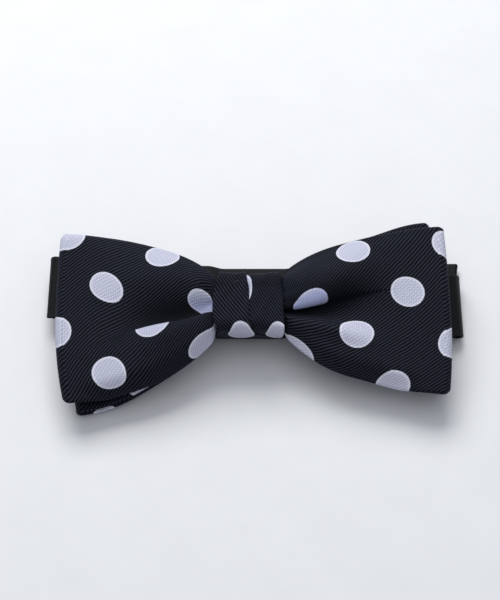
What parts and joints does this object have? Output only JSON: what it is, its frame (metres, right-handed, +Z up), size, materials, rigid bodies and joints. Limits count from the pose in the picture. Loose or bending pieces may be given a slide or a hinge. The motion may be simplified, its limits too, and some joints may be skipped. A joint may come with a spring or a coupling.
{
  "type": "bow tie",
  "caption": "Pre-tied dotted bow tie with a pleated knot, a second bow behind, and a folded neck strap with slider, hook and eye.",
  "frame": {"origin": "middle of the bottom of the whole bow tie's box, on the surface it lies on", "axes": "+X along the bow to the right, +Y from the near edge to the far edge, +Z up out of the bow's face"},
  "size_m": [0.1228, 0.0546, 0.0215],
  "materials": {
    "dotted_twill": "blue-black silk twill with pale woven dots",
    "ribbon": "black fine-ribbed ribbon",
    "canvas": "natural woven canvas",
    "thread": "black sewing thread",
    "nickel": "polished nickel plate"
  },
  "bodies": {
    "strap": {"neck_strap": "ribbon", "eye_bar_tack": "thread"},
    "bow": {"front_bow_shell": "dotted_twill", "front_bow_interlining": "canvas", "front_bow_seam_thread": "thread", "back_bow_shell": "dotted_twill", "back_bow_interlining": "canvas", "back_bow_seam_thread": "thread", "knot_wrap": "dotted_twill", "knot_interlining": "canvas", "knot_closing_stitches": "thread", "gather_thread": "thread"},
    "slider": {"adjuster_slider": "nickel", "strap_tail": "ribbon", "slider_bar_tack": "thread"},
    "hook": {"hook": "nickel"},
    "eye": {"eye": "nickel"}
  },
  "joints": [
    {"name": "bow_slide", "type": "slide", "parent": "strap", "child": "bow", "axis": [1, 0, 0], "range_m": [-0.003, 0.003]},
    {"name": "slider_slide", "type": "slide", "parent": "strap", "child": "slider", "axis": [1, 0, 0], "range_m": [0, 0.008]},
    {"name": "hook_swing", "type": "hinge", "parent": "strap", "child": "hook", "pos_m": [-0.04376, 0.01145, 0.0017], "axis": [0, 1, 0], "range_deg": [-4, 6]},
    {"name": "eye_swing", "type": "hinge", "parent": "strap", "child": "eye", "pos_m": [0.02374, 0.01145, 0.00145], "axis": [0, 1, 0], "range_deg": [-3, 6]}
  ]
}
